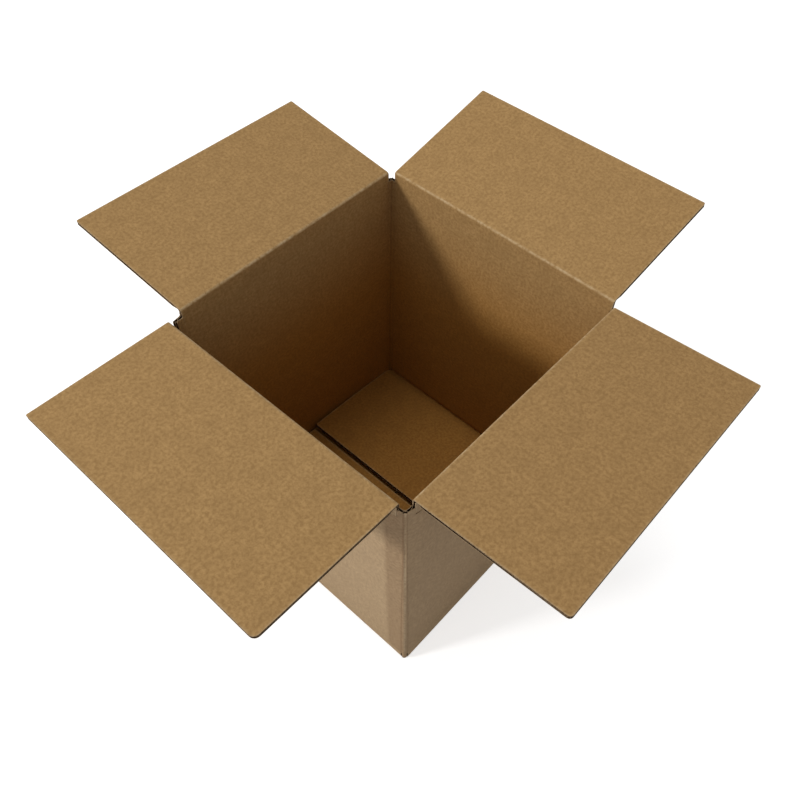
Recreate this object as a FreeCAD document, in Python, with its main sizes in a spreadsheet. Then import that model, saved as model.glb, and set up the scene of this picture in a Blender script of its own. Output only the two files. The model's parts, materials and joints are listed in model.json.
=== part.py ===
import FreeCAD, Part
import os
import Sketcher

# Open carton: a square regular slotted box of single-wall corrugated board, standing with its
# four top flaps folded out.
#
# Frame: +Z up, origin on the ground under the middle of the box. The front wall faces -Y, the
# back wall +Y, the left wall -X and the right wall +X.
#
# The walls, the bottom flaps and the glue tab are one folded sheet. The top flaps belong to the
# same sheet, and each is a piece of its own here because it turns at its fold.

# Sizes in millimetres and degrees. Each has one cell of the sheet.
SIZES = [
    ("inside_width", 203.2, "between the inner faces of the left and right walls"),
    ("inside_length", 203.2, "between the inner faces of the front and back walls"),
    ("inside_depth", 228.6, "from the inner bottom flaps to the closed front and back flaps"),
    ("board_thickness", 4.0, "single wall with tall flutes"),
    ("liner_thickness", 0.4, "paper on each face of the board"),
    ("fluting_thickness", 0.35, "wavy paper between the liners"),
    ("flute_pitch", 8.1, "from one wave to the next"),
    ("fold_crush", 6.0, "length beside a fold over which the flutes are pressed flat"),
    ("side_groove", 2.0, "depth of the cut flute that lies open along a flap's side"),
    ("front_back_flap_length", 102.9, "fold to free edge, front and back top flaps"),
    ("left_right_flap_length", 102.9, "fold to free edge, left and right top flaps"),
    ("layer_clearance", 0.3, "between closed flaps that lie on each other"),
    ("hinge_clearance", 0.3, "between a flap's roll and the wall below it"),
    ("hang_angle", 45.0, "how far below level a top flap swings outside"),
    ("front_flap_angle", 2.3, "rise of the front flap above level as it stands open"),
    ("right_flap_angle", 4.9, "rise of the right flap"),
    ("back_flap_angle", 13.4, "rise of the back flap"),
    ("left_flap_angle", 6.1, "rise of the left flap"),
    ("front_flap_trim_left", 3.5, "wall's middle plane to the flap's side"),
    ("front_flap_trim_right", 5.9, "same, at the flap's other side"),
    ("right_flap_trim_front", 6.0, ""),
    ("right_flap_trim_back", 6.1, ""),
    ("back_flap_trim_right", 4.3, ""),
    ("back_flap_trim_left", 6.4, ""),
    ("left_flap_trim_back", 5.2, ""),
    ("left_flap_trim_front", 7.9, ""),
    ("sharp_tip", 1.0, "bevel of an unworn flap corner"),
    ("front_flap_worn_tip", 4.0, "bevel of the front flap's worn right corner"),
    ("right_flap_worn_tip", 2.6, "bevel of the right flap's worn front corner"),
    ("slot_depth", 8.7, "front and back folds to the bottom of the corner slots"),
    ("corner_radius", 3.2, "outside of a folded upright corner"),
    ("inner_corner_radius", 0.6, "inside of a folded upright corner"),
    ("joint_groove", 1.5, "groove where the sheet's end meets the folded tab"),
    ("tab_width", 35.0, "glue tab, inside the front wall at the left corner"),
    ("tab_taper", 12.0, "slope of the tab's ends"),
    ("tab_floor_gap", 2.0, "between the tab and the inner bottom flap"),
    ("bottom_flap_length", 102.9, "fold to free edge, all bottom flaps"),
    ("inner_bottom_trim", 3.5, "wall's middle plane to the side of an inner bottom flap"),
    ("outer_bottom_trim", 5.0, "same, for an outer bottom flap"),
    ("sprung_flap_angle", 4.5, "rise of the back inner bottom flap, which isn't held down"),
    ("tape_width", 48.0, "tape under the bottom seam"),
    ("tape_thickness", 0.1, ""),
]

doc = FreeCAD.newDocument("open_carton")
sheet = doc.addObject("Spreadsheet::Sheet", "Sizes")
for row, (alias, size, note) in enumerate(SIZES, start=1):
    sheet.set(f"A{row}", alias)
    sheet.set(f"B{row}", str(size))
    sheet.set(f"C{row}", note)
    sheet.setAlias(f"B{row}", alias)
doc.recompute()

# Derived sizes, as expressions of the sheet's cells
BOARD = "Sizes.board_thickness"
HALF_BOARD = f"({BOARD} / 2)"
HALF_X = f"((Sizes.inside_width + {BOARD}) / 2)"
HALF_Y = f"((Sizes.inside_length + {BOARD}) / 2)"
BASE_Z = "Sizes.tape_thickness"
OUTER_FOLD_Z = f"({BASE_Z} + {HALF_BOARD})"
INNER_FOLD_Z = f"({OUTER_FOLD_Z} + {BOARD})"
FRONT_BACK_AXIS_Z = f"({INNER_FOLD_Z} + {BOARD} + Sizes.inside_depth)"
LEFT_RIGHT_AXIS_Z = f"({FRONT_BACK_AXIS_Z} + {BOARD} + Sizes.layer_clearance)"
SLOT_Z = f"({FRONT_BACK_AXIS_Z} - Sizes.slot_depth)"


def value(expression):
    """The number that an expression of the sheet's cells gives now."""
    result = sheet.evalExpression(expression)
    return getattr(result, "Value", result)


def plane(body, role):
    return next(item for item in body.Origin.OriginFeatures if item.Role == role)


def new_sketch(body, name, role, offset=None):
    """A sketch on one of the body's own planes, moved along its normal by an expression."""
    sketch = body.newObject("Sketcher::SketchObject", name)
    sketch.AttachmentSupport = (plane(body, role), [""])
    sketch.MapMode = "FlatFace"
    if offset:
        sketch.setExpression("AttachmentOffset.Base.z", offset)
    return sketch


def pin(sketch, edge, end, across, up):
    """Ties a point of the sketch to two expressions."""
    for kind, expression in (("DistanceX", across), ("DistanceY", up)):
        number = sketch.addConstraint(
            Sketcher.Constraint(kind, -1, 1, edge, end, value(expression)))
        sketch.setExpression(f"Constraints[{number}]", expression)


def outline(sketch, points):
    """A closed outline of straight lines through points given as pairs of expressions."""
    places = [FreeCAD.Vector(value(across), value(up), 0) for across, up in points]
    edges = [sketch.addGeometry(Part.LineSegment(start, end), False)
             for start, end in zip(places, places[1:] + places[:1])]
    for edge, following in zip(edges, edges[1:] + edges[:1]):
        sketch.addConstraint(Sketcher.Constraint("Coincident", edge, 2, following, 1))
    for edge, (across, up) in zip(edges, points):
        pin(sketch, edge, 1, across, up)


def pad(body, name, sketch, along, against=None):
    """Raises a sketch along its normal, and against it too where a second length is given."""
    feature = body.newObject("PartDesign::Pad", name)
    feature.Profile = sketch
    if against:
        feature.SideType = "Two sides"
        feature.setExpression("Length2", against)
    feature.setExpression("Length", along)
    return feature


def pocket(body, name, sketch, depth, against=None):
    """Cuts a sketch against its normal, and along it too where a second length is given."""
    feature = body.newObject("PartDesign::Pocket", name)
    feature.Profile = sketch
    if against:
        feature.SideType = "Two sides"
        feature.setExpression("Length2", against)
    feature.setExpression("Length", depth)
    return feature


def place(item, x, y, z, yaw, pitch="0"):
    item.setExpression(
        "Placement",
        f"create(<<placement>>; create(<<vector>>; {x}; {y}; {z}); "
        f"create(<<rotation>>; {yaw}; {pitch}; 0))")


def flap(label, length, near, far, near_tip, far_tip):
    """A flap in the frame of its own fold.

    The fold runs along Y through the middle of the board, and the flap reaches out along +X.
    near and far are how far it reaches along -Y and +Y. The flutes run along X and lie open at
    the free edge. The board ends at the fold in a roll about the fold's own axis.
    """
    body = doc.addObject("PartDesign::Body", label)

    plan = new_sketch(body, f"{label}_plan", "XY_Plane")
    outline(plan, [
        ("0", f"-({near})"),
        (f"{length} - {near_tip}", f"-({near})"),
        (length, f"-({near}) + {near_tip}"),
        (length, f"{far} - {far_tip}"),
        (f"{length} - {far_tip}", far),
        ("0", far)])
    panel = pad(body, f"{label}_panel", plan, BOARD)
    panel.SideType = "Symmetric"

    roll = new_sketch(body, f"{label}_roll", "XZ_Plane")
    circle = roll.addGeometry(
        Part.Circle(FreeCAD.Vector(), FreeCAD.Vector(0, 0, 1), value(HALF_BOARD)), False)
    roll.addConstraint(Sketcher.Constraint("Coincident", circle, 3, -1, 1))
    number = roll.addConstraint(Sketcher.Constraint("Radius", circle, value(HALF_BOARD)))
    roll.setExpression(f"Constraints[{number}]", HALF_BOARD)
    pad(body, f"{label}_knuckle", roll, near, far)

    core = f"({HALF_BOARD} - Sizes.liner_thickness)"
    depth = f"{length} - Sizes.fold_crush"
    sides = new_sketch(body, f"{label}_sides", "YZ_Plane", length)
    for edge, inner in ((f"-({near})", f"-({near}) + Sizes.side_groove"),
                        (far, f"{far} - Sizes.side_groove")):
        outline(sides, [(edge, f"-{core}"), (inner, "0"), (edge, core)])
    pocket(body, f"{label}_open_sides", sides, depth)

    half_wave = "Sizes.flute_pitch / 2"
    half_base = f"({half_wave} - Sizes.fluting_thickness / 2)"
    crest = f"({core} - Sizes.fluting_thickness)"
    room = f"({near} + {far} - 2 * Sizes.side_groove - {half_wave})"
    count = f"floor({room} / Sizes.flute_pitch)"
    start = f"(({far} - ({near}) - {count} * Sizes.flute_pitch + {half_wave}) / 2)"
    wave = new_sketch(body, f"{label}_wave", "YZ_Plane", length)
    outline(wave, [
        (f"{start} - {half_base}", f"-{core}"),
        (f"{start} + {half_base}", f"-{core}"),
        (start, crest)])
    middle = f"({start} + {half_wave})"
    outline(wave, [
        (f"{middle} + {half_base}", core),
        (f"{middle} - {half_base}", core),
        (middle, f"-{crest}")])
    flute = pocket(body, f"{label}_flute", wave, depth)
    flutes = body.newObject("PartDesign::LinearPattern", f"{label}_flutes")
    flutes.Originals = [flute]
    flutes.Direction = (wave, ["H_Axis"])
    flutes.Mode = "Spacing"
    flutes.setExpression("Offset", "Sizes.flute_pitch")
    flutes.setExpression("Occurrences", count)
    body.Tip = flutes
    return body


def wall_top(body, name, role, side, half, axis_z, along, against):
    """The top of one wall, under its flap's fold, raised from the bottom of the slots.

    It is cut back outside, as a crushed fold is, so that the flap can hang below level.
    side is -1 or 1, the wall's side of the sketch's plane.
    """
    gap = f"({HALF_BOARD} + Sizes.hinge_clearance)"
    sine = "sin(Sizes.hang_angle * 1deg)"
    cosine = "cos(Sizes.hang_angle * 1deg)"
    flat_to = f"(({gap} * {cosine} - {gap}) / {sine})"
    drop = f"(({gap} + {HALF_BOARD} * {sine}) / {cosine})"
    sketch = new_sketch(body, f"{name}_section", role)
    outline(sketch, [
        (f"{side} * ({half} + {HALF_BOARD})", SLOT_Z),
        (f"{side} * ({half} - {HALF_BOARD})", SLOT_Z),
        (f"{side} * ({half} - {HALF_BOARD})", f"{axis_z} - {gap}"),
        (f"{side} * ({half} + {flat_to})", f"{axis_z} - {gap}"),
        (f"{side} * ({half} + {HALF_BOARD})", f"{axis_z} - {drop}")])
    return pad(body, name, sketch, along, against)


def upright_edges(feature, x, y):
    """Names of the upright edges of a feature at (x, y)."""
    tolerance = 0.01
    names = []
    for number, edge in enumerate(feature.Shape.Edges, start=1):
        box = edge.BoundBox
        at_corner = abs(box.Center.x - x) < tolerance and abs(box.Center.y - y) < tolerance
        if at_corner and box.ZLength > tolerance:
            names.append(f"Edge{number}")
    return names


def round_corners(body, name, base, corners, radius):
    """Rounds the upright edges at the given corners."""
    names = [edge for x, y in corners for edge in upright_edges(base, x, y)]
    feature = body.newObject("PartDesign::Fillet", name)
    feature.Base = (base, names)
    feature.setExpression("Radius", radius)
    doc.recompute()
    return feature


def rectangle(half_x, half_y):
    """Corners of a rectangle about the middle."""
    low_x, low_y = f"-{half_x}", f"-{half_y}"
    return [(low_x, low_y), (half_x, low_y), (half_x, half_y), (low_x, half_y)]


def make_walls():
    """The four walls with their slots, the tops under the flaps and the glue tab."""
    body = doc.addObject("PartDesign::Body", "walls")
    outer_x = f"({HALF_X} + {HALF_BOARD})"
    outer_y = f"({HALF_Y} + {HALF_BOARD})"
    inner_x = f"({HALF_X} - {HALF_BOARD})"
    inner_y = f"({HALF_Y} - {HALF_BOARD})"

    ring = new_sketch(body, "ring", "XY_Plane", OUTER_FOLD_Z)
    outline(ring, rectangle(outer_x, outer_y))
    tube = pad(body, "tube", ring, f"{SLOT_Z} - {OUTER_FOLD_Z}")
    doc.recompute()
    x, y = value(outer_x), value(outer_y)
    tube = round_corners(body, "folded_corners", tube, [(x, -y), (x, y), (-x, y)],
                         "Sizes.corner_radius")

    hollow = new_sketch(body, "hollow", "XY_Plane", SLOT_Z)
    outline(hollow, rectangle(inner_x, inner_y))
    inside = pocket(body, "inside", hollow, f"{SLOT_Z} - {OUTER_FOLD_Z}")
    doc.recompute()
    x, y = value(inner_x), value(inner_y)
    round_corners(body, "inner_corners", inside, [(x, -y), (x, y), (-x, y)],
                  "Sizes.inner_corner_radius")

    # The front wall's cut end laps the left wall's fold, and a groove is left between them.
    groove = new_sketch(body, "groove", "XY_Plane", SLOT_Z)
    outline(groove, [
        (f"-{outer_x}", f"-{inner_y} - Sizes.joint_groove"),
        (f"-{outer_x} + Sizes.joint_groove", f"-{inner_y}"),
        (f"-{outer_x}", f"-{inner_y} + Sizes.joint_groove")])
    pocket(body, "glued_corner", groove, f"{SLOT_Z} - {OUTER_FOLD_Z}")

    # The front and back walls end at the inner bottom flaps, one board above the others.
    step = new_sketch(body, "step", "XZ_Plane")
    side = f"({HALF_X} - Sizes.inner_bottom_trim)"
    outline(step, [(f"-{side}", "0"), (side, "0"), (side, INNER_FOLD_Z), (f"-{side}", INNER_FOLD_Z)])
    pocket(body, "inner_fold_step", step, outer_y, outer_y)

    wall_top(body, "front_wall_top", "YZ_Plane", -1, HALF_Y, FRONT_BACK_AXIS_Z,
             f"{HALF_X} - Sizes.front_flap_trim_right", f"{HALF_X} - Sizes.front_flap_trim_left")
    wall_top(body, "back_wall_top", "YZ_Plane", 1, HALF_Y, FRONT_BACK_AXIS_Z,
             f"{HALF_X} - Sizes.back_flap_trim_right", f"{HALF_X} - Sizes.back_flap_trim_left")
    wall_top(body, "left_wall_top", "XZ_Plane", -1, HALF_X, LEFT_RIGHT_AXIS_Z,
             f"{HALF_Y} - Sizes.left_flap_trim_front", f"{HALF_Y} - Sizes.left_flap_trim_back")
    wall_top(body, "right_wall_top", "XZ_Plane", 1, HALF_X, LEFT_RIGHT_AXIS_Z,
             f"{HALF_Y} - Sizes.right_flap_trim_front", f"{HALF_Y} - Sizes.right_flap_trim_back")

    tab = new_sketch(body, "tab", "XZ_Plane", inner_y)
    low = f"{INNER_FOLD_Z} + {HALF_BOARD} + Sizes.tab_floor_gap"
    end = f"-{inner_x} + Sizes.tab_width"
    outline(tab, [
        (f"-{inner_x}", low),
        (end, f"{low} + Sizes.tab_taper"),
        (end, f"{SLOT_Z} - Sizes.tab_taper"),
        (f"-{inner_x}", SLOT_Z)])
    glue_tab = pad(body, "glue_tab", tab, BOARD)
    glue_tab.Reversed = True
    body.Tip = glue_tab
    return body


def make_box_body():
    """The folded sheet without its top flaps."""
    pieces = [make_walls()]
    for name, side, yaw in (("outer_bottom_left", -1, 0), ("outer_bottom_right", 1, 180)):
        reach = f"({HALF_Y} - Sizes.outer_bottom_trim)"
        piece = flap(name, "Sizes.bottom_flap_length", reach, reach, "Sizes.sharp_tip", "Sizes.sharp_tip")
        place(piece, f"{side} * {HALF_X}", "0", OUTER_FOLD_Z, yaw)
        pieces.append(piece)
    for name, side, yaw, rise in (("inner_bottom_front", -1, 90, "0"),
                                  ("inner_bottom_back", 1, -90, "-Sizes.sprung_flap_angle")):
        reach = f"({HALF_X} - Sizes.inner_bottom_trim)"
        piece = flap(name, "Sizes.bottom_flap_length", reach, reach, "Sizes.sharp_tip", "Sizes.sharp_tip")
        place(piece, "0", f"{side} * {HALF_Y}", INNER_FOLD_Z, yaw, rise)
        pieces.append(piece)
    folded = doc.addObject("Part::MultiFuse", "box_body")
    folded.Shapes = pieces
    folded.Refine = True
    return folded


def make_top_flaps():
    """The four top flaps as they stand open."""
    sharp = "Sizes.sharp_tip"
    front = flap("front_flap", "Sizes.front_back_flap_length",
                 f"{HALF_X} - Sizes.front_flap_trim_left", f"{HALF_X} - Sizes.front_flap_trim_right",
                 sharp, "Sizes.front_flap_worn_tip")
    place(front, "0", f"-{HALF_Y}", FRONT_BACK_AXIS_Z, -90, "-Sizes.front_flap_angle")
    back = flap("back_flap", "Sizes.front_back_flap_length",
                f"{HALF_X} - Sizes.back_flap_trim_right", f"{HALF_X} - Sizes.back_flap_trim_left",
                sharp, sharp)
    place(back, "0", HALF_Y, FRONT_BACK_AXIS_Z, 90, "-Sizes.back_flap_angle")
    right = flap("right_flap", "Sizes.left_right_flap_length",
                 f"{HALF_Y} - Sizes.right_flap_trim_front", f"{HALF_Y} - Sizes.right_flap_trim_back",
                 "Sizes.right_flap_worn_tip", sharp)
    place(right, HALF_X, "0", LEFT_RIGHT_AXIS_Z, 0, "-Sizes.right_flap_angle")
    left = flap("left_flap", "Sizes.left_right_flap_length",
                f"{HALF_Y} - Sizes.left_flap_trim_back", f"{HALF_Y} - Sizes.left_flap_trim_front",
                sharp, sharp)
    place(left, f"-{HALF_X}", "0", LEFT_RIGHT_AXIS_Z, 180, "-Sizes.left_flap_angle")
    return [front, back, right, left]


def make_tape():
    """Tape under the seam of the outer bottom flaps. The box stands on it."""
    body = doc.addObject("PartDesign::Body", "bottom_tape")
    seam = new_sketch(body, "tape_outline", "XY_Plane")
    outline(seam, rectangle("(Sizes.tape_width / 2)", f"({HALF_Y} - Sizes.outer_bottom_trim)"))
    body.Tip = pad(body, "tape_strip", seam, "Sizes.tape_thickness")
    return body


def main():
    subparts = [make_box_body(), *make_top_flaps(), make_tape()]
    doc.recompute()
    for item in doc.Objects:
        if "Invalid" in item.State or "Error" in item.State:
            raise RuntimeError(f"{item.Label} is {item.State}")
    for item in subparts:
        if item.Shape.isNull() or not item.Shape.isValid():
            raise RuntimeError(f"{item.Label} has no valid shape")
        if len(item.Shape.Solids) != 1:
            raise RuntimeError(f"{item.Label} has {len(item.Shape.Solids)} solids")
    os.makedirs("parts", exist_ok=True)
    for item in subparts:
        item.Shape.exportStep(f"parts/{item.Label}.step")


main()
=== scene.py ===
import json
import math
from collections import namedtuple

import bpy
import numpy as np
from mathutils import Matrix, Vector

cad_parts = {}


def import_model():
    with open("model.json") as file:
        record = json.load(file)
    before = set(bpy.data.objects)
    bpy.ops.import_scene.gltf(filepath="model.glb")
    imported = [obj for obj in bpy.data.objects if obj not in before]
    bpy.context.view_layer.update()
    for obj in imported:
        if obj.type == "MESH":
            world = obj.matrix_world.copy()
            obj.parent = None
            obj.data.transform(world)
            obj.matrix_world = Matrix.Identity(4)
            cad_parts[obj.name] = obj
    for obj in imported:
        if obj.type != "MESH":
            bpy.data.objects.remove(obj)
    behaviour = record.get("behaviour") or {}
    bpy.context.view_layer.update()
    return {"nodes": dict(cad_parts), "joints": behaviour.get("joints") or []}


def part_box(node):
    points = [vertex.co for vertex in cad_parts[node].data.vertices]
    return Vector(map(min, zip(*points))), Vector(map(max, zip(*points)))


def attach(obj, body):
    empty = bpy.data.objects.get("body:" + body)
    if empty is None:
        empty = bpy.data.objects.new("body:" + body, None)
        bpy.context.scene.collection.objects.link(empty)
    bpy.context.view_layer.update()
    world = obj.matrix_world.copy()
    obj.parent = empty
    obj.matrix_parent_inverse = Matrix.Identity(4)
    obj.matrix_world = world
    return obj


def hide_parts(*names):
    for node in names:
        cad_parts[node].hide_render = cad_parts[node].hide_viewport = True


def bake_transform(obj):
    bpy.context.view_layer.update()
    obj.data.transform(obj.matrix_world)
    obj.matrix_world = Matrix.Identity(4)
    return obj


# Looks of the open carton. Lengths are millimetres until a mesh is made.
#
# The carton is built as the sheet of corrugated board that it is: two liners and the wavy
# fluting between them, as closed layers. Each top flap is one piece with the strip of wall
# under its fold, and bends at the fold.

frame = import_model()

MM = 0.001

# The board: its thickness, its papers' and the length of a wave of its fluting
BOARD = 4.0
HALF = BOARD / 2
LINER = 0.4
FLUTING = 0.35
PITCH = 8.1

# The carton's plan and heights, from the solids
low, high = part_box("box_body")
MID = high.x / MM - HALF
JOINTS = {joint["name"]: joint for joint in frame["joints"]}
AXIS_Z = {name.split("_")[0]: joint["pos_m"][2] / MM for name, joint in JOINTS.items()}
TOP_Z = AXIS_Z["front"]
OUTER_FOLD_Z = low.z / MM + HALF
INNER_FOLD_Z = OUTER_FOLD_Z + BOARD

# Where the walls begin above the bottom flaps' strips and end below the top flaps' strips, and
# the lowest point of the corners
SEAM_Z = 12.0
SLOT_Z = TOP_Z - 8.7
FOOT_Z = 0.3

# The upright corners: their radius outside and inside, the length of wall that each takes, and
# the length over which what is tucked in or set back there fades along the wall
OUTER_CORNER, INNER_CORNER, CORNER_RUN, CORNER_FADE = 2.4, 2.2, 8.0, 3.0

# The flaps' creases: how far the crushed inner face stays from the middle of the board, the
# radius of its roll and the gap below it, the lengths of wall and flap over which the board
# gets thinner, and how far from the fold's axis a turned flap is fully turned
CREASE, ROLL, ROLL_GAP = 0.35, 0.2, 0.05
WALL_CRUSH_RUN, FLAP_CRUSH_RUN = 6.0, 6.5
ARC_STEPS = 8

# How much thinner a top flap is at its cut edges, and how far in that reaches
EDGE_CRUSH, EDGE_CRUSH_RUN = 0.9, 1.6

# The bottom flaps: their length, which leaves a small gap where the outer two meet, how much
# narrower each is at each end than its wall, how far the inner ones' folds bulge up and over
# which length, by how many degrees the back one springs up, and how much its free edge is cut
# back at the left
BOTTOM_FLAP = MID - 0.7
INNER_BOTTOM_TRIM, OUTER_BOTTOM_TRIM = 3.5, 5.0
BOTTOM_BULGE, BULGE_RUN = 3.6, 7.5
SPRUNG_ANGLE = 3.8
BACK_EDGE_TRIM = 1.0

# The glue tab, and how far the front wall's cut edge stands past the corner beside it
TAB_WIDTH, TAB_TAPER, TAB_LOW = 35.0, 12.0, 10.1
FRONT_REACH = 1.4

# The direction along each wall and the direction out of it
SIDES = {
    "left": (np.array([0.0, 1.0, 0.0]), np.array([-1.0, 0.0, 0.0])),
    "back": (np.array([1.0, 0.0, 0.0]), np.array([0.0, 1.0, 0.0])),
    "right": (np.array([0.0, -1.0, 0.0]), np.array([1.0, 0.0, 0.0])),
    "front": (np.array([-1.0, 0.0, 0.0]), np.array([0.0, -1.0, 0.0])),
}
UP = np.array([0.0, 0.0, 1.0])
ORDER = ["left", "back", "right", "front"]

# How far each wall bows out in its middle
BOW = {"left": 0.5, "back": -0.5, "right": 0.6, "front": 0.4}

# How far each fold lies above its joint, and the flap's rise in degrees. The real folds are
# nearer to one height than the joints, which keep closed flaps apart.
FOLD_SHIFT = {"left": -1.1, "back": 3.7, "right": -1.1, "front": 1.1}
RISE = {"left": 7.9, "back": 13.2, "right": 4.7, "front": 0.6}

# How the real box is out of true: how far its top corners stand out along y, at the left front,
# right front, left back and right back, how far the left wall stands out at the floor, at its
# ends and more in its middle, and how far the back wall does
RACK = (-2.5, -1.0, 2.6, 2.6)
FOOT_LEAN, FOOT_BULGE, FOOT_BACK = 5.0, 3.0, 1.5

# How much further each top flap reaches along its wall than its solid does: at the fold's start
# and end, and at the free edge's start and end
SKEW = {
    "left": (-3.6, 0.2, 0.7, 1.4), "back": (1.0, 0.0, -1.1, 2.8),
    "right": (0.1, -1.7, 0.3, 0.2), "front": (-0.4, 1.0, -0.6, 1.1),
}

# The rounding of each top flap's free corners, at its start and end
TIPS = {"front": (4.0, 1.0), "back": (1.0, 1.0), "left": (1.0, 1.0), "right": (1.0, 2.6)}

# The bottoms of the slots, at the corner where each wall of ORDER starts, how far the crushed
# outer face is set back there, how far along the walls that reaches, and above which height
SLOT_RIM = {"left": 237.0, "back": 235.5, "right": 235.0, "front": 237.2}
RECESS = {"left": 1.9, "back": 1.4, "right": 2.0, "front": 2.4}
RECESS_RUN, RECESS_LOW = 15.0, 30.0

# Rows of a flap near its fold, which stay there in a shorter flap, the first and last of the
# even rows in its middle, and rows near its free edge
NEAR_FOLD = (0.9, 1.6, 2.4, 3.4, 4.6, 6.0, 7.5, 9.5)
MIDDLE = (12.5, BOTTOM_FLAP - 6.9)
NEAR_EDGE = (4.4, 2.6, 1.5, 0.8, 0.3, 0.0)

# Rows of wall below a top flap's fold, which end this far from its axis
NEAR_AXIS, AXIS_GAP = (3.4, 2.2, 1.2, 0.6), 0.3

# Columns near a cut edge and near an upright corner, and the even columns between corners
CLOSE = (0.0, 0.25, 0.6, 1.1, 1.8, 2.7, 4.0)
CORNER_STEPS = np.concatenate([np.arange(0, 5.0, 0.5), [5.6, 6.4, 7.2, 8.0, 10.0, 13.0]])
PANEL_START, PANEL_STEP = 17.0, 6.0

# Wear, which the materials read. A worn fold or upright corner has a mean, a spread and the
# length of its ripples. A fold's ridge has its middle and width in steps of the fold's arc, a
# corner's has its width, and a cut edge has a strength and width.
FOLD_WEAR, FOLD_RIPPLE = (0.75, 0.45), 2.7
FOLD_RIDGE = (3.8, 2.2)
CORNER_WEAR, CORNER_RIPPLE = (0.35, 0.35), 3.0
CORNER_RIDGE_WIDTH = 0.6
CUT_WEAR = (0.55, 0.7)

# Shade, which they read too: lines along the upright corners, with strength, distance from the
# corner and width, a band beside the front wall's corners, with strength, and where and over
# which length it ends, and the strengths all over the right wall's outside and the right flap
OUTSIDE_GROOVE = (0.8, 2.6, 0.6)
INSIDE_CREASES = ((1.5, 0.0, 1.3), (0.4, 4.0, 2.0))
FRONT_BAND = (0.9, 13.0, 4.0)
RIGHT_WALL_SHADE, RIGHT_FLAP_SHADE = 0.35, 0.25

# Material numbers: the liner's two faces, cut edges and what lies between the liners, whose near-black
# colour is painted shade inside the flutes
INNER, OUTER, CUT, SHADED_CORE = range(4)


def smooth(t):
    t = np.clip(t, 0, 1)
    return t * t * (3 - 2 * t)


def bell(x, width):
    return np.exp(-(x / width) ** 2)


def ripple(x, seed, wavelength, knots=4096, start=1000):
    """Smooth noise between about -1 and 1 along a line. start keeps the places above 0."""
    values = np.random.default_rng(seed).uniform(-1, 1, knots)
    place = np.asarray(x) / wavelength + start
    cell = np.floor(place).astype(int)
    before, after = values[cell % knots], values[(cell + 1) % knots]
    return before + (after - before) * smooth(place - cell)


def world(side, s, o, z):
    """Points from lengths along a wall, out from its middle plane and up."""
    along, out = SIDES[side]
    height = np.clip(z / TOP_Z, 0, 1)
    bow = BOW[side] * np.cos(np.clip(s / MID, -1, 1) * math.pi / 2) ** 2 * np.sin(height * math.pi)
    reach = o + MID + bow
    points = s[..., None] * along + reach[..., None] * out + z[..., None] * UP
    x, y = points[..., 0], points[..., 1]
    u, v = np.clip(x / MID, -1, 1), np.clip(y / MID, -1, 1)
    corners = ((1 - u) * (1 - v), (1 + u) * (1 - v), (1 - u) * (1 + v), (1 + u) * (1 + v))
    rack = sum(weight * shift for weight, shift in zip(corners, RACK)) / 4
    beyond = np.maximum(np.abs(x), np.abs(y)) - MID
    points[..., 0] -= (1 - u) / 2 * (FOOT_LEAN + FOOT_BULGE * (1 - v * v)) * (1 - height)
    points[..., 1] += rack * height * (1 - np.clip(beyond / BOTTOM_FLAP, 0, 1))
    points[..., 1] += (1 + v) / 2 * FOOT_BACK * (1 - height)
    return points


def blank_u(side, s):
    """Place across the flutes on the flat sheet."""
    return (ORDER.index(side) + 0.5) * 2 * MID + s


def depth_shade_share(z, start=20, run=80):
    """How far a height is into the box, which is its share of the painted shade far inside: 0 near the
    top, 1 from half way down.
    """
    return np.clip((TOP_Z - start - z) / run, 0, 1)


def through(first, second):
    """The direction from one face to the other, and the distance."""
    gap = second - first
    thickness = np.linalg.norm(gap, axis=-1, keepdims=True)
    return gap / thickness, thickness


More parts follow.
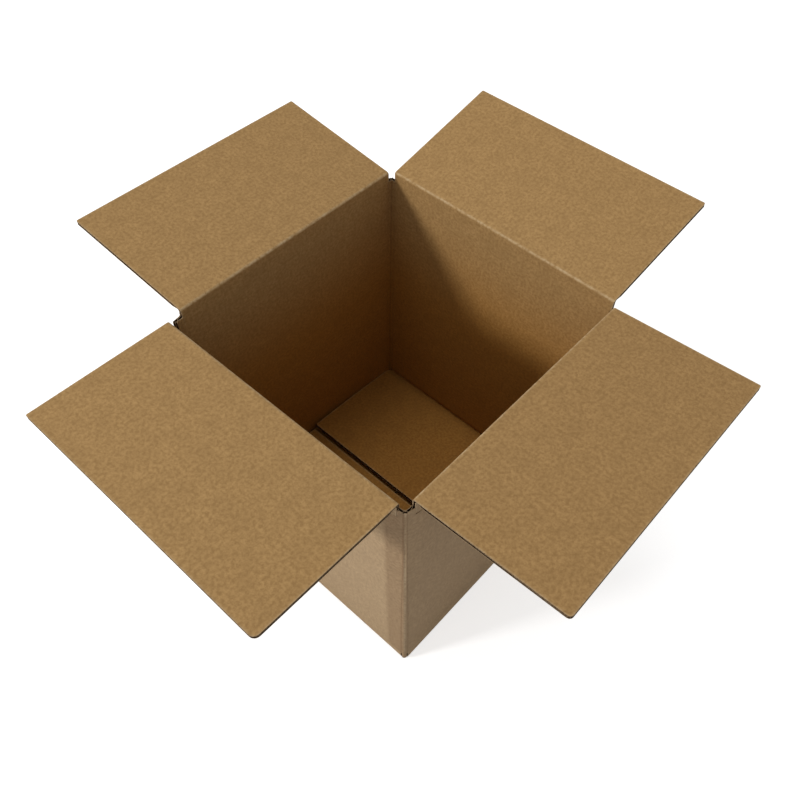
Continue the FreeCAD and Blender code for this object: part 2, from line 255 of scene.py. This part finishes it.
class Board:
    """Collects layers of board as one mesh."""

    def __init__(self, name):
        self.name = name
        self.points = []
        self.uv = []
        self.marks = []
        self.faces = []
        self.face_material = []
        self.face_smooth = []
        self.count = 0

    def layer(self, top, bottom, uv, marks, materials):
        """One closed layer between two grids of points.

        marks are those of the top and the bottom, and materials those of the top, the bottom
        and the cut edges.
        """
        columns, rows = top.shape[:2]
        number = np.arange(columns * rows).reshape(columns, rows)
        a = number + self.count
        b = a + columns * rows
        self.points += [top.reshape(-1, 3), bottom.reshape(-1, 3)]
        self.uv += [uv.reshape(-1, 2)] * 2
        self.marks += [marks[0].reshape(-1, 3), marks[1].reshape(-1, 3)]
        self.count += 2 * columns * rows

        def quads(p, q, r, s, material, is_smooth):
            block = np.stack([p, q, r, s], -1).reshape(-1, 4)
            self.faces.append(block)
            self.face_material.append(np.full(len(block), material))
            self.face_smooth.append(np.full(len(block), is_smooth))

        quads(a[:-1, :-1], a[1:, :-1], a[1:, 1:], a[:-1, 1:], materials[0], True)
        quads(b[:-1, :-1], b[:-1, 1:], b[1:, 1:], b[1:, :-1], materials[1], True)
        quads(a[1:, 0], a[:-1, 0], b[:-1, 0], b[1:, 0], materials[2], False)
        quads(a[:-1, -1], a[1:, -1], b[1:, -1], b[:-1, -1], materials[2], False)
        quads(a[0, :-1], a[0, 1:], b[0, 1:], b[0, :-1], materials[2], False)
        quads(a[-1, 1:], a[-1, :-1], b[-1, :-1], b[-1, 1:], materials[2], False)

    def board(self, shape, liner_columns, wave_columns, materials):
        """Both liners and the fluting between them.

        shape gives, for columns, both faces' points, the place on the sheet and both faces'
        marks. materials are those of its first and second face.
        """
        first, second, uv, marks = shape(liner_columns)
        inward, _ = through(first, second)
        blank = np.zeros(marks[0].shape)
        self.layer(first, first + inward * LINER, uv, (marks[0], blank), (materials[0], SHADED_CORE, CUT))
        self.layer(second - inward * LINER, second, uv, (blank, marks[1]), (SHADED_CORE, materials[1], CUT))

        first, second, uv, marks = shape(wave_columns)
        inward, thickness = through(first, second)
        room = np.maximum(thickness / 2 - LINER - FLUTING / 2, 0)
        wave = np.sin(uv[..., :1] * 2 * math.pi / PITCH) * room
        middle = first + inward * (thickness / 2 + wave)
        blank = np.zeros(marks[0].shape)
        self.layer(middle - inward * FLUTING / 2, middle + inward * FLUTING / 2, uv,
                   (blank, blank), (SHADED_CORE, SHADED_CORE, CUT))

    def make(self, materials, sharp_from=40):
        mesh = bpy.data.meshes.new(self.name)
        points = np.concatenate(self.points) * MM
        faces = np.concatenate(self.faces)
        mesh.vertices.add(len(points))
        mesh.vertices.foreach_set("co", points.ravel())
        mesh.loops.add(faces.size)
        mesh.loops.foreach_set("vertex_index", faces.ravel())
        mesh.polygons.add(len(faces))
        mesh.polygons.foreach_set("loop_start", np.arange(0, faces.size, 4))
        mesh.polygons.foreach_set("loop_total", np.full(len(faces), 4))
        mesh.polygons.foreach_set("material_index", np.concatenate(self.face_material))
        mesh.polygons.foreach_set("use_smooth", np.concatenate(self.face_smooth))
        layer = mesh.uv_layers.new(name="blank")
        uv = np.concatenate(self.uv) * MM
        layer.data.foreach_set("uv", uv[faces.ravel()].ravel())
        marks = np.concatenate(self.marks)
        # The marks that the materials read: wear, painted shade, and painted shade far inside the box.
        for number, name in enumerate(("wear", "shade", "depth_shade")):
            attribute = mesh.attributes.new(name, "FLOAT", "POINT")
            attribute.data.foreach_set("value", marks[:, number].astype(np.float32))
        mesh.update(calc_edges=True)
        mesh.validate()
        mesh.set_sharp_from_angle(angle=math.radians(sharp_from))
        for material in materials:
            mesh.materials.append(material)
        thing = bpy.data.objects.new(self.name, mesh)
        bpy.context.scene.collection.objects.link(thing)
        return thing


def spaced(start, end, step):
    """Places from start to end at about equal steps, closer together at both ends."""
    length = end - start - 2 * CLOSE[-1]
    count = math.ceil(length / step)
    inner = start + CLOSE[-1] + np.arange(count + 1) * length / count
    near = np.array(CLOSE[:-1])
    return np.concatenate([start + near, inner, (end - near)[::-1]])


def waves(start, end, each=12):
    """Places from start to end, this many in each wave of the fluting."""
    steps = math.ceil((end - start) / (PITCH / each))
    return np.linspace(start, end, steps + 1)


def corner_name(panel, sign):
    """The corner at a panel's start (sign 1) or end (sign -1), named by the wall that starts there."""
    if panel == "tab":
        return "left"
    return panel if sign > 0 else ORDER[(ORDER.index(panel) + 1) % len(ORDER)]


def strip_shape(side, rows_z, axis_z, rise, length_at, skew, bulge, middle_rows, top):
    """The shape of a strip of wall with its flap, for Board.board.

    In the section, x runs towards the side that the flap turns to and y along the wall to the
    fold. The first face is the convex one. length_at gives the flap's length for columns.
    """
    sign = 1 if top else -1
    sine, cosine = math.sin(rise), math.cos(rise)
    centre = np.array([CREASE + ROLL, -CREASE - ROLL])
    wall_y = (np.asarray(rows_z) - axis_z) * sign
    hollow = HALF - (HALF - CREASE) * smooth((wall_y + WALL_CRUSH_RUN) / (WALL_CRUSH_RUN - CREASE))
    wall_first = np.stack([np.full(len(wall_y), -HALF), wall_y], -1)
    angles = np.linspace(0, math.pi / 2 - rise, ARC_STEPS)
    arc = np.stack([-np.cos(angles), np.sin(angles)], -1)
    arc_first = arc * HALF
    arc_first[:, 1] += bulge * smooth(angles / (math.pi / 2))
    arc_second = centre + arc * ROLL
    flap_rows = np.concatenate([
        NEAR_FOLD, np.linspace(*MIDDLE, middle_rows), BOTTOM_FLAP - np.array(NEAR_EDGE)])

    def shape(columns):
        s = columns[:, None]
        length = length_at(columns)[:, None]
        share = (s - columns[0]) / (columns[-1] - columns[0])
        kept = NEAR_FOLD[-1]
        stretched = kept + (flap_rows - kept) * (length - kept) / (BOTTOM_FLAP - kept)
        d = np.where(flap_rows > kept, stretched, flap_rows)
        from_side = np.minimum(s - columns[0], columns[-1] - s)
        rim = np.minimum(from_side, length - d)
        inner_o = HALF - (HALF - CREASE) * (1 - smooth((d - NEAR_FOLD[0]) / FLAP_CRUSH_RUN))
        inner_o = inner_o - (EDGE_CRUSH if top else 0) * bell(rim, EDGE_CRUSH_RUN)

        def flap_face(offset):
            return np.stack([d * cosine - offset * sine, d * sine + offset * cosine], -1)

        flap_first = flap_face(HALF)
        flap_first[..., 1] += bulge * (1 - smooth(d / BULGE_RUN))
        flap_second = flap_face(-inner_o)
        wall_x = hollow + 0 * s
        if top:
            corner = np.where(s < 0, RECESS[side], RECESS[corner_name(side, -1)])
            back = corner * (1 - smooth((MID - np.abs(s)) / RECESS_RUN))
            wall_x = np.minimum(wall_x, HALF - back)
        wall_second = np.stack([wall_x, np.minimum(wall_y, centre[1] - ROLL_GAP) + 0 * s], -1)
        every = (len(columns), 1, 1)
        first = np.concatenate([np.tile(wall_first, every), np.tile(arc_first, every), flap_first], 1)
        second = np.concatenate([wall_second, np.tile(arc_second, every), flap_second], 1)
        walls = len(wall_y)
        bends = walls + ARC_STEPS
        out_to = np.concatenate([np.zeros((len(columns), bends)), d / BOTTOM_FLAP], 1)
        start_by = -skew[0] + (skew[0] - skew[2]) * out_to
        end_by = skew[1] + (skew[3] - skew[1]) * out_to
        across = s + start_by * (1 - share) + end_by * share
        points = [world(side, across, face[..., 0] * sign, axis_z + face[..., 1] * sign)
                  for face in (first, second)]
        run = np.linalg.norm(np.diff(first, axis=1), axis=-1)
        v = np.concatenate([np.zeros((len(columns), 1)), np.cumsum(run, 1)], 1)
        uv = np.stack([blank_u(side, across), rows_z[0] + sign * v], -1)

        wear = np.zeros(first.shape[:2])
        ridge = bell(np.arange(ARC_STEPS) - FOLD_RIDGE[0], FOLD_RIDGE[1])
        rippled = FOLD_WEAR[0] + FOLD_WEAR[1] * ripple(s, 11 + ORDER.index(side), FOLD_RIPPLE)
        wear[:, walls:bends] = ridge * rippled
        rim = np.concatenate([from_side + np.zeros(bends), rim], 1)
        wear = np.maximum(wear, CUT_WEAR[0] * bell(rim, CUT_WEAR[1]))
        shade = np.full(wear.shape, RIGHT_FLAP_SHADE if top and side == "right" else 0.0)
        # Painted shade far inside the box: none on a top flap, its share down a top strip's wall, all
        # of it on the bottom flaps.
        depth_shade = np.full(wear.shape, 0.0 if top else 1.0)
        if top:
            depth_shade[:, :walls] = depth_shade_share(np.asarray(rows_z))
        marks = np.stack([wear, shade, depth_shade], -1)
        return points[0], points[1], uv, (marks, marks)

    return shape


def flap_outline(start, end, length, start_tip, end_tip):
    """A flap's length for each column, shorter at its rounded tips."""
    def length_at(columns):
        result = np.full(len(columns), float(length))
        for distance, tip in ((columns - start, start_tip), (end - columns, end_tip)):
            inside = np.clip(tip - distance, 0, tip)
            result -= tip - np.sqrt(np.maximum(tip ** 2 - inside ** 2, 0))
        return result
    return length_at


def flap_ends(side):
    """Where the solid of a top flap starts and ends along its wall."""
    along = SIDES[side][0]
    return sorted(float(np.array(corner) @ along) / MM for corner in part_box(f"{side}_flap"))


def top_flap(side, start_tip, end_tip):
    """One top flap with the strip of wall below its fold."""
    node = f"{side}_flap"
    joint = JOINTS[f"{side}_fold"]
    out = SIDES[side][1]
    start, end = flap_ends(side)
    reach = max(float(np.array(corner) @ out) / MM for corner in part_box(node))
    solid_rise = math.radians(180 - joint["range_deg"][1])
    length = (reach - MID - HALF * math.sin(solid_rise)) / math.cos(solid_rise)
    axis_z = AXIS_Z[side] + FOLD_SHIFT[side]
    rows_z = np.concatenate([np.linspace(SLOT_Z, axis_z, 9), axis_z - np.array(NEAR_AXIS)])
    rows_z = np.unique(rows_z[rows_z < axis_z - AXIS_GAP])
    shape = strip_shape(side, rows_z, axis_z, math.radians(RISE[side]),
                        flap_outline(start, end, length, start_tip, end_tip),
                        skew=SKEW[side], bulge=0.0, middle_rows=22, top=True)
    board = Board(f"{side}_flap_board")
    board.board(shape, spaced(start, end, 3.0), waves(start, end), (INNER, OUTER))
    piece = board.make(LAYERS)
    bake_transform(piece)
    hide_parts(node)


Panel = namedtuple("Panel", "side start end shift folds_at_start folds_at_end")
PANELS = {
    "tab": Panel("front", MID - HALF - TAB_WIDTH, MID, -BOARD, False, True),
    "left": Panel("left", -(MID - BOARD), MID, 0, True, True),
    "back": Panel("back", -MID, MID, 0, True, True),
    "right": Panel("right", -MID, MID, 0, True, True),
    "front": Panel("front", -MID, MID + FRONT_REACH, 0, True, False),
}


def panel_face(name, s, outer, crushed):
    """Plan points of a panel's face, rounded where it folds into the next one."""
    panel = PANELS[name]
    radius = OUTER_CORNER if outer else INNER_CORNER
    flat = HALF if outer else -HALF
    setback = radius - flat
    half_arc = radius * math.pi / 4
    total = half_arc + CORNER_RUN - setback
    across, out = s.copy(), np.full(len(s), flat)
    for corner, sign, folds in ((panel.start, 1, panel.folds_at_start),
                                (panel.end, -1, panel.folds_at_end)):
        if not folds:
            continue
        distance = (s - corner) * sign
        path = distance * total / CORNER_RUN
        angle = math.pi / 4 - np.clip(path, 0, half_arc) / radius
        on_arc = corner + sign * (setback - radius * np.sin(angle))
        on_flat = corner + sign * (setback + path - half_arc)
        near = distance < CORNER_RUN
        bent = path < half_arc
        across = np.where(near, np.where(bent, on_arc, on_flat), across)
        out = np.where(near & bent, flat - radius + radius * np.cos(angle), out)
        if outer and crushed:
            back = RECESS[corner_name(name, sign)] * (1 - smooth(distance / RECESS_RUN))
            out = out - back
            across = across + sign * back * (1 - smooth(distance / CORNER_FADE))
    return across, out + panel.shift


def wall_shape(parts, z_low, z_high, fractions):
    """The shape of a run of upright panels, for Board.board, and its two sets of columns.

    parts gives each panel's name, start and end, z_low and z_high its bottom and top for
    columns, and fractions the rows' places between them.
    """
    far = 99.0
    same = 1e-6

    def shape(columns):
        firsts, seconds, sheet, places = [], [], [], []
        position = 0.0
        for name, start, end in parts:
            panel = PANELS[name]
            inside = columns >= position - same
            if name != parts[-1][0]:
                inside &= columns < position + end - start - same
            s = columns[inside] - position + start
            bottom, top = z_low(name, s), z_high(name, s)
            z = bottom[:, None] + (top - bottom)[:, None] * fractions
            for faces, outer in ((firsts, False), (seconds, True)):
                whole, crushed = (np.stack(panel_face(name, s, outer, state))[:, :, None]
                                  for state in (False, True))
                rising = smooth((z - RECESS_LOW) / (SLOT_Z - RECESS_LOW))
                across, out = whole + (crushed - whole) * rising
                if outer:
                    tuck = HALF - np.sqrt(HALF ** 2 - np.clip(HALF - z, 0, HALF) ** 2)
                    out = out - tuck
                    near_corner = 1 - smooth((MID - np.abs(s)) / CORNER_FADE)
                    across = across - (np.sign(s) * near_corner)[:, None] * tuck
                faces.append(world(panel.side, across, out, z))
            u = blank_u(panel.side, s)
            if name == "tab":
                u = s - MID + blank_u("left", PANELS["left"].start)
            sheet.append(np.stack([np.broadcast_to(u[:, None], z.shape), z], -1))
            from_corner = np.minimum(s - panel.start if panel.folds_at_start else far + 0 * s,
                                     panel.end - s if panel.folds_at_end else far + 0 * s)
            places.append(np.stack([from_corner[:, None] + 0 * z, (name == "front") + 0 * z,
                                    (name == "right") + 0 * z], -1))
            position += end - start
        uv = np.concatenate(sheet)
        z = uv[..., 1]
        from_corner, in_front, in_right = np.moveaxis(np.concatenate(places), -1, 0)
        none = 0 * z
        creases = sum(strength * bell(from_corner - place, width)
                      for strength, place, width in INSIDE_CREASES)
        rippled = CORNER_WEAR[0] + CORNER_WEAR[1] * ripple(z, 5, CORNER_RIPPLE)
        ridge = bell(from_corner, CORNER_RIDGE_WIDTH) * rippled
        strength, place, width = OUTSIDE_GROOVE
        groove = strength * bell(from_corner - place, width)
        strength, place, width = FRONT_BAND
        band = strength * (1 - smooth((from_corner - place) / width)) * in_front
        # Inside, the walls get painted shade in their creases and far down inside the box.
        inside_marks = np.stack([none, creases, depth_shade_share(z)], -1)
        outside_marks = np.stack([ridge, groove + band + RIGHT_WALL_SHADE * in_right, none], -1)
        return np.concatenate(firsts), np.concatenate(seconds), uv, (inside_marks, outside_marks)

    columns, position = [], 0.0
    for _, start, end in parts:
        run = end - start
        middle = np.arange(PANEL_START, max(run - PANEL_START + 1, PANEL_START + 0.1), PANEL_STEP)
        steps = np.concatenate([CORNER_STEPS, middle, (run - CORNER_STEPS)[::-1]])
        columns.append(position + np.round(steps[(steps >= 0) & (steps <= run)], 4))
        position += run
    columns = np.unique(np.round(np.concatenate(columns), 4))
    columns = columns[np.concatenate([[True], np.diff(columns) > 0.05])]
    columns[-1] = position
    return shape, columns, waves(0, position)


def level(z):
    """The same height all along, for wall_shape."""
    return lambda name, s: np.full(len(s), z)


def torn(z):
    """A slot's rough bottom, for wall_shape."""
    return lambda name, s: z + 0.3 * ripple(s, 31, 1.3)


def beside_tab(z, tab_z, slope):
    """A height that slopes along the glue tab, for wall_shape."""
    return lambda name, s: (
        np.full(len(s), z) if name != "tab"
        else tab_z + slope * (MID - s) / (TAB_WIDTH + HALF) * TAB_TAPER)


def make_walls():
    """The walls, the corners below and above them, and the glue tab."""
    board = Board("carton_board")
    ends = {}
    for side in ORDER:
        start, end = flap_ends(side)
        ends[side] = (start - SKEW[side][0], end + SKEW[side][1])
    inside = MID - HALF
    last = PANELS["front"].end
    rows = np.concatenate([np.linspace(0, 0.985, 12), [0.993, 0.9975, 1.0]])
    foot_rows = np.linspace(0, 1, 4)
    post_rows = np.array([0, 0.5, 0.8, 1.0])

    def post(corner, *parts):
        return parts, level(SLOT_Z), torn(SLOT_RIM[corner]), post_rows

    def foot(*parts):
        return parts, level(FOOT_Z), level(SEAM_Z), foot_rows

    for run in (
            ([(name, panel.start, panel.end) for name, panel in PANELS.items()],
             beside_tab(SEAM_Z, TAB_LOW, 1), beside_tab(SLOT_Z, SLOT_Z, -1), rows),
            foot(("left", inside, MID), ("back", -MID, -inside)),
            foot(("back", inside, MID), ("right", -MID, -inside)),
            foot(("right", inside, MID), ("front", -MID, -inside)),
            foot(("front", inside, last)),
            post("left", ("left", PANELS["left"].start, ends["left"][0])),
            post("back", ("left", ends["left"][1], MID), ("back", -MID, ends["back"][0])),
            post("right", ("back", ends["back"][1], MID), ("right", -MID, ends["right"][0])),
            post("front", ("right", ends["right"][1], MID), ("front", -MID, ends["front"][0])),
            post("left", ("front", ends["front"][1], last))):
        board.board(*wall_shape(*run), (INNER, OUTER))
    return board.make(LAYERS)


def make_bottom():
    """The four bottom flaps with the strips of wall above their folds."""
    board = Board("bottom_flaps_board")
    outer_end, inner_end = MID - OUTER_BOTTOM_TRIM, MID - INNER_BOTTOM_TRIM
    inside = MID - HALF
    sprung = -math.radians(SPRUNG_ANGLE)
    for side, axis_z, end, rise, bulge, edge_start in (
            ("left", OUTER_FOLD_Z, outer_end, 0.0, 0.0, 0.0),
            ("right", OUTER_FOLD_Z, outer_end, 0.0, 0.0, 0.0),
            ("front", INNER_FOLD_Z, inner_end, 0.0, BOTTOM_BULGE, 0.0),
            ("back", INNER_FOLD_Z, inner_end, sprung, BOTTOM_BULGE, -BACK_EDGE_TRIM)):
        rows_z = np.concatenate([np.linspace(SEAM_Z, axis_z, 6)[:-1], [axis_z + 0.6]])
        rows_z = np.unique(np.round(rows_z, 4))[::-1]
        wider = (-end - max(-inside, PANELS[side].start), inside - end, edge_start, 0.0)
        shape = strip_shape(side, rows_z, axis_z, rise, flap_outline(-end, end, BOTTOM_FLAP, 1.0, 1.0),
                            skew=wider, bulge=bulge, middle_rows=5, top=False)
        board.board(shape, spaced(-end, end, 6.0), waves(-end, end, 10), (OUTER, INNER))
    return board.make(LAYERS)


def node_tools(tree):
    """Empties a node tree and gives helpers that add and link its nodes."""
    tree.nodes.clear()

    def node(kind, **values):
        made = tree.nodes.new(kind)
        for key, value in values.items():
            if hasattr(made, key):
                setattr(made, key, value)
            else:
                made.inputs[key.replace("_", " ")].default_value = value
        return made

    def link(source, target):
        tree.links.new(source, target)

    return node, link


def new_material(name):
    material = bpy.data.materials.new(name)
    material.use_nodes = True
    return material, *node_tools(material.node_tree)


def add_surface(node, link, roughness, specular):
    surface = node("ShaderNodeBsdfPrincipled", Roughness=roughness, Specular_IOR_Level=specular)
    output = node("ShaderNodeOutputMaterial")
    link(surface.outputs[0], output.inputs["Surface"])
    return surface


def add_bump(node, link, surface, height, strength, distance):
    bump = node("ShaderNodeBump", Strength=strength, Distance=distance)
    link(height, bump.inputs["Height"])
    link(bump.outputs[0], surface.inputs["Normal"])


def liner_material(name, light, dark, deep_shade, edge_light, offset):
    """Kraft liner: mottled fibre, faint flutes, worn ridges, and painted shade in creases and the
    other shade marks and far inside the box.

    The deep shade colour is painted shade, multiplied in far inside the box; edge_light is the
    colour of worn ridges and offset moves the pattern on the sheet.
    """
    material, node, link = new_material(name)
    surface = add_surface(node, link, 0.82, 0.25)
    place = node("ShaderNodeUVMap", uv_map="blank")
    shift = node("ShaderNodeMapping", Location=offset)
    link(place.outputs[0], shift.inputs["Vector"])

    def noise(scale, detail, stretch=(1, 1, 1), rough=0.5):
        mapping = node("ShaderNodeMapping", Scale=stretch)
        link(shift.outputs[0], mapping.inputs["Vector"])
        made = node("ShaderNodeTexNoise", Scale=scale, Detail=detail, Roughness=rough)
        link(mapping.outputs[0], made.inputs["Vector"])
        return made.outputs["Fac"]

    def ramp(source, low_at, high_at):
        made = node("ShaderNodeMapRange", From_Min=low_at, From_Max=high_at)
        link(source, made.inputs["Value"])
        return made.outputs["Result"]

    def blend(fac, first, second, mode="MIX"):
        made = node("ShaderNodeMix", data_type="RGBA", blend_type=mode)
        if isinstance(fac, float):
            made.inputs["Factor"].default_value = fac
        else:
            link(fac, made.inputs["Factor"])
        for value, socket in ((first, made.inputs["A"]), (second, made.inputs["B"])):
            if isinstance(value, tuple):
                socket.default_value = (*value, 1)
            else:
                link(value, socket)
        return made.outputs["Result"]

    def combine(operation, first, second):
        made = node("ShaderNodeMath", operation=operation)
        for value, socket in zip((first, second), made.inputs):
            if isinstance(value, (int, float)):
                socket.default_value = value
            else:
                link(value, socket)
        return made.outputs[0]

    def part(source, share):
        return combine("MULTIPLY", source, share)

    def mark(attribute):
        return node("ShaderNodeAttribute", attribute_name=attribute).outputs["Fac"]

    def tint(colour, share):
        return tuple(value * share for value in colour)

    fine = noise(450, 4, rough=0.68)
    fibres = noise(420, 3, (1, 0.28, 1), 0.6)
    cloud = noise(80, 4)
    speck = noise(1500, 2)
    mottle = combine("ADD", part(fine, 0.78), part(fibres, 0.22))
    colour = blend(ramp(mottle, 0.40, 0.60), dark, light)
    colour = blend(part(ramp(cloud, 0.38, 0.68), 0.3), colour, tint(dark, 0.9))
    colour = blend(part(ramp(speck, 0.68, 0.78), 0.3), colour, tint(dark, 0.55))
    # Painted shade: far inside the box the colour is multiplied darker and redder.
    colour = blend(part(mark("depth_shade"), 0.75), colour, blend(1.0, colour, deep_shade, "MULTIPLY"))
    # Painted shade from the shade mark: in creases and grooves, a band by the front corners and on the
    # right wall and flap.
    shaded = blend(1.0, colour, (0.62, 0.55, 0.5), "MULTIPLY")
    colour = blend(part(mark("shade"), 0.6), colour, shaded)
    worn = combine("MULTIPLY", mark("wear"), ramp(fine, 0.3, 0.55))
    colour = blend(worn, colour, edge_light)
    link(colour, surface.inputs["Base Color"])

    # A wave node at scale 1 repeats each pi / 10 of a unit
    flutes = node("ShaderNodeTexWave", wave_type="BANDS", bands_direction="X",
                  Scale=math.pi / (10 * PITCH * MM), Distortion=0)
    link(place.outputs[0], flutes.inputs["Vector"])
    height = combine("ADD", part(mottle, 0.1 * MM), part(flutes.outputs["Fac"], 0.02 * MM))
    add_bump(node, link, surface, height, 1, 1)
    return material


def grain_material(name, dark, light, at, roughness, specular, uv_map, scale, strength, height):
    """A surface that runs between two colours with a fine grain, which also raises it."""
    material, node, link = new_material(name)
    surface = add_surface(node, link, roughness, specular)
    if uv_map:
        place = node("ShaderNodeUVMap", uv_map=uv_map).outputs[0]
    else:
        place = node("ShaderNodeTexCoord").outputs["Object"]
    grain = node("ShaderNodeTexNoise", Scale=scale, Detail=3)
    link(place, grain.inputs["Vector"])
    colours = node("ShaderNodeValToRGB")
    for element, position, colour in zip(colours.color_ramp.elements, at, (dark, light)):
        element.position = position
        element.color = (*colour, 1)
    link(grain.outputs["Fac"], colours.inputs["Fac"])
    link(colours.outputs["Color"], surface.inputs["Base Color"])
    add_bump(node, link, surface, grain.outputs["Fac"], strength, height)
    return material


def edge_material(name, dark, light):
    """Cut board and the paper between the liners: short rough fibre, in the colours given, which for
    the paper between the liners are a near-black painted shade.
    """
    return grain_material(name, dark, light, (0.35, 0.65), roughness=0.9, specular=0.15,
                          uv_map="blank", scale=1400, strength=1, height=0.1 * MM)


def tape_material():
    """Glossy tan film with broad ripples."""
    return grain_material("packing_tape", (0.30, 0.185, 0.08), (0.40, 0.255, 0.12), (0.3, 0.75),
                          roughness=0.28, specular=0.5, uv_map=None, scale=90, strength=0.4,
                          height=0.2 * MM)


# In the order of the material numbers
LAYERS = [
    # The inside liner's deep shade colour paints shade far inside the box.
    liner_material("kraft_inside", light=(0.430, 0.259, 0.100), dark=(0.305, 0.175, 0.062),
                   deep_shade=(1.0, 0.72, 0.20), edge_light=(0.50, 0.36, 0.20), offset=(0, 0, 0)),
    liner_material("kraft_outside", light=(0.46, 0.323, 0.186), dark=(0.345, 0.236, 0.132),
                   deep_shade=(1.0, 1.0, 1.0), edge_light=(0.55, 0.43, 0.28), offset=(3.1, 1.7, 0)),
    edge_material("board_cut", (0.24, 0.15, 0.075), (0.42, 0.31, 0.19)),
    # The paper between the liners is near-black: painted shade inside the flutes.
    edge_material("board_core_painted_shade", (0.035, 0.017, 0.008), (0.10, 0.052, 0.024)),
]


def make_floor(half=4.0, below=0.0002):
    """A pale matt floor, which looks lighter to the camera than it lights the box."""
    mesh = bpy.data.meshes.new("floor")
    mesh.from_pydata([(-half, -half, 0), (half, -half, 0), (half, half, 0), (-half, half, 0)], [],
                     [(0, 1, 2, 3)])
    floor = bpy.data.objects.new("floor", mesh)
    bpy.context.scene.collection.objects.link(floor)
    floor.location.z = -below
    material, node, link = new_material("pale_floor")
    matt = node("ShaderNodeBsdfDiffuse", Color=(0.8, 0.8, 0.8, 1))
    glow = node("ShaderNodeEmission")
    path = node("ShaderNodeLightPath")
    strength = node("ShaderNodeMath", operation="MULTIPLY")
    strength.inputs[1].default_value = 0.6
    link(path.outputs["Is Camera Ray"], strength.inputs[0])
    link(strength.outputs[0], glow.inputs["Strength"])
    both = node("ShaderNodeAddShader")
    link(matt.outputs[0], both.inputs[0])
    link(glow.outputs[0], both.inputs[1])
    output = node("ShaderNodeOutputMaterial")
    link(both.outputs[0], output.inputs["Surface"])
    mesh.materials.append(material)


def make_studio():
    """A white surrounding that lights softly, a key lamp and a wide lamp from above."""
    studio = bpy.data.worlds.new("studio")
    bpy.context.scene.world = studio
    studio.use_nodes = True
    node, link = node_tools(studio.node_tree)
    path = node("ShaderNodeLightPath")
    fill = node("ShaderNodeBackground", Color=(1, 1, 1, 1), Strength=0.47)
    white = node("ShaderNodeBackground", Color=(1, 1, 1, 1), Strength=1.0)
    seen = node("ShaderNodeMath", operation="MAXIMUM")
    link(path.outputs["Is Camera Ray"], seen.inputs[0])
    link(path.outputs["Is Glossy Ray"], seen.inputs[1])
    mix = node("ShaderNodeMixShader")
    link(seen.outputs[0], mix.inputs["Fac"])
    link(fill.outputs[0], mix.inputs[1])
    link(white.outputs[0], mix.inputs[2])
    output = node("ShaderNodeOutputWorld")
    link(mix.outputs[0], output.inputs["Surface"])

    def lamp(name, direction, distance, size, power):
        light = bpy.data.lights.new(name, "AREA")
        light.shape = "DISK"
        light.size = size
        light.energy = power
        thing = bpy.data.objects.new(name, light)
        bpy.context.scene.collection.objects.link(thing)
        back = np.array(direction, float)
        back /= np.linalg.norm(back)
        right = np.cross(UP, back)
        right /= np.linalg.norm(right)
        turn = Matrix((right, np.cross(back, right), back)).transposed().to_4x4()
        turn.translation = back * distance + np.array([0, 0, 0.2])
        thing.matrix_world = turn

    lamp("key", (-0.760, -1.55, 0.6475), distance=1.84, size=0.3, power=16.7)
    lamp("top", (-0.24, -0.04, 1.0), distance=2.2, size=0.9, power=11.5)


def make_camera():
    """The photograph's view: azimuth, elevation and roll about a target, in degrees."""
    azimuth, elevation, roll = (math.radians(angle) for angle in (39.725, 55.636, 2.462))
    target = np.array([40.87, -18.05, 154.86])
    distance = 540.0
    focal_pixels, image = 755.4, 800
    centre = (421.6, 440.7)
    back = np.array([math.sin(azimuth) * math.cos(elevation),
                     -math.cos(azimuth) * math.cos(elevation), math.sin(elevation)])
    across = np.array([math.cos(azimuth), math.sin(azimuth), 0])
    above = np.cross(back, across)
    right = math.cos(roll) * across + math.sin(roll) * above
    up = -math.sin(roll) * across + math.cos(roll) * above
    camera = bpy.data.cameras.new("camera")
    camera.sensor_width = 36
    camera.lens = focal_pixels * camera.sensor_width / image
    camera.shift_x = (image / 2 - centre[0]) / image
    camera.shift_y = (centre[1] - image / 2) / image
    camera.clip_start = 0.01
    camera.clip_end = 50
    thing = bpy.data.objects.new("camera", camera)
    bpy.context.scene.collection.objects.link(thing)
    pose = Matrix((right, up, back)).transposed().to_4x4()
    pose.translation = (target + back * distance) * MM
    thing.matrix_world = pose
    bpy.context.scene.camera = thing


for body_piece in (make_walls(), make_bottom()):
    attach(body_piece, "box")
    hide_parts("box_body")
for flap, tips in TIPS.items():
    top_flap(flap, *tips)

tape = frame["nodes"]["bottom_tape"]
tape.data.materials.clear()
tape.data.materials.append(tape_material())

make_floor()
make_studio()
make_camera()
bpy.context.scene.view_settings.view_transform = "Standard"
